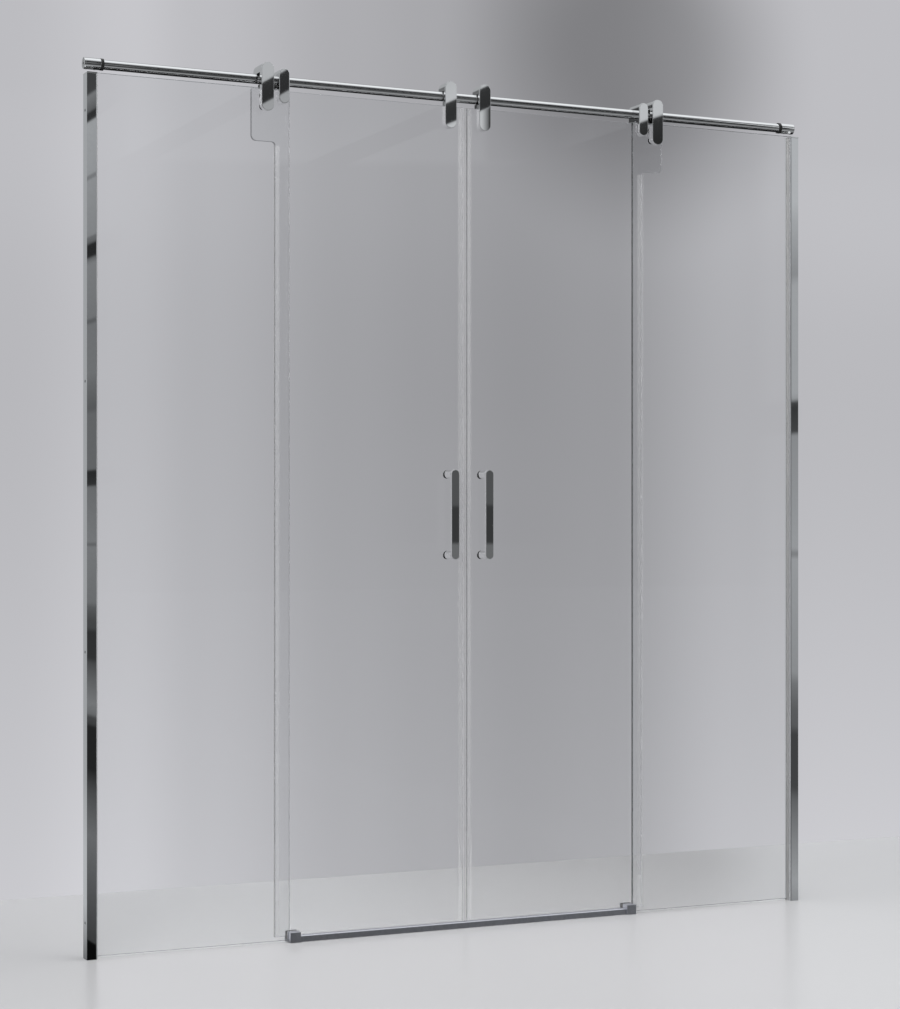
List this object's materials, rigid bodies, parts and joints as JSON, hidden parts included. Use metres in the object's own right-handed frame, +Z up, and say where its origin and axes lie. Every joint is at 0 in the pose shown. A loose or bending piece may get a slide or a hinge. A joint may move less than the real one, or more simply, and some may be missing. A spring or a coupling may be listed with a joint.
{
  "type": "shower enclosure",
  "caption": "Frameless niche shower enclosure: fixed glass side panes and glass doors that hang on wheels from a round rail and part in the middle, with bar handles.",
  "frame": {"origin": "middle of the entrance, on the tray surface, in the middle plane of the fixed panes (on the threshold bar's underside)", "axes": "+Z up, +X to the right as seen from outside, +Y into the shower"},
  "size_m": [1.865, 0.067, 2.0113],
  "materials": {
    "chrome": "polished",
    "bright_profile": "polished",
    "steel": "satin",
    "clear_glass": "clear",
    "clear_pvc": "clear",
    "grey_nylon": "matte",
    "black_nylon": "matte",
    "black_rubber": "matte"
  },
  "bodies": {
    "frame": {"clamp_bushes": "clear_pvc", "clamp_discs": "chrome", "clamp_screws": "steel", "fixed_clamp_left": "chrome", "fixed_clamp_right": "chrome", "fixed_glass_left": "clear_glass", "fixed_glass_right": "clear_glass", "glazing_gaskets": "clear_pvc", "guide_block_left": "chrome", "guide_block_right": "chrome", "guide_inserts": "grey_nylon", "pane_seals": "clear_pvc", "profile_caps": "chrome", "rail_buffers": "black_rubber", "rail_grub_screws": "steel", "rail_plugs": "steel", "rail_sockets": "chrome", "rail_tube": "chrome", "setting_blocks": "clear_pvc", "threshold_bar": "bright_profile", "wall_profile_left": "bright_profile", "wall_profile_right": "bright_profile"},
    "door_left": {"anti_lift_pads_left": "black_nylon", "carriage_axles_left": "steel", "carriage_covers_left": "chrome", "carriage_discs_left": "chrome", "carriage_screws_left": "steel", "centre_carriage_body_left": "chrome", "door_glass_left": "clear_glass", "edge_seal_left": "clear_pvc", "glass_bushes_left": "clear_pvc", "handle_bar_left": "chrome", "handle_posts_left": "chrome", "handle_screws_left": "chrome", "meeting_seal_left": "clear_pvc", "outer_carriage_body_left": "chrome"},
    "door_right": {"anti_lift_pads_right": "black_nylon", "carriage_axles_right": "steel", "carriage_covers_right": "chrome", "carriage_discs_right": "chrome", "carriage_screws_right": "steel", "centre_carriage_body_right": "chrome", "door_glass_right": "clear_glass", "edge_seal_right": "clear_pvc", "glass_bushes_right": "clear_pvc", "handle_bar_right": "chrome", "handle_posts_right": "chrome", "handle_screws_right": "chrome", "meeting_seal_right": "clear_pvc", "outer_carriage_body_right": "chrome"},
    "outer_wheel_left": {"outer_wheel_race_left": "steel", "outer_wheel_tyre_left": "black_nylon"},
    "centre_wheel_left": {"centre_wheel_race_left": "steel", "centre_wheel_tyre_left": "black_nylon"},
    "outer_wheel_right": {"outer_wheel_race_right": "steel", "outer_wheel_tyre_right": "black_nylon"},
    "centre_wheel_right": {"centre_wheel_race_right": "steel", "centre_wheel_tyre_right": "black_nylon"}
  },
  "joints": [
    {"name": "door_left_slide", "type": "slide", "parent": "frame", "child": "door_left", "axis": [-1, 0, 0], "range_m": [0, 0.36]},
    {"name": "outer_wheel_left_spin", "type": "hinge", "parent": "door_left", "child": "outer_wheel_left", "pos_m": [-0.51275, 0.014, 1.9963], "axis": [0, 1, 0], "continuous": true},
    {"name": "centre_wheel_left_spin", "type": "hinge", "parent": "door_left", "child": "centre_wheel_left", "pos_m": [-0.045, 0.014, 1.9963], "axis": [0, 1, 0], "continuous": true},
    {"name": "door_right_slide", "type": "slide", "parent": "frame", "child": "door_right", "axis": [1, 0, 0], "range_m": [0, 0.36]},
    {"name": "outer_wheel_right_spin", "type": "hinge", "parent": "door_right", "child": "outer_wheel_right", "pos_m": [0.51275, 0.014, 1.9963], "axis": [0, 1, 0], "continuous": true},
    {"name": "centre_wheel_right_spin", "type": "hinge", "parent": "door_right", "child": "centre_wheel_right", "pos_m": [0.045, 0.014, 1.9963], "axis": [0, 1, 0], "continuous": true}
  ],
  "couplings": [
    {"joint": "outer_wheel_left_spin", "follows": "door_left_slide", "rad_per_m": -125},
    {"joint": "centre_wheel_left_spin", "follows": "door_left_slide", "rad_per_m": -125},
    {"joint": "outer_wheel_right_spin", "follows": "door_right_slide", "rad_per_m": 125},
    {"joint": "centre_wheel_right_spin", "follows": "door_right_slide", "rad_per_m": 125}
  ]
}
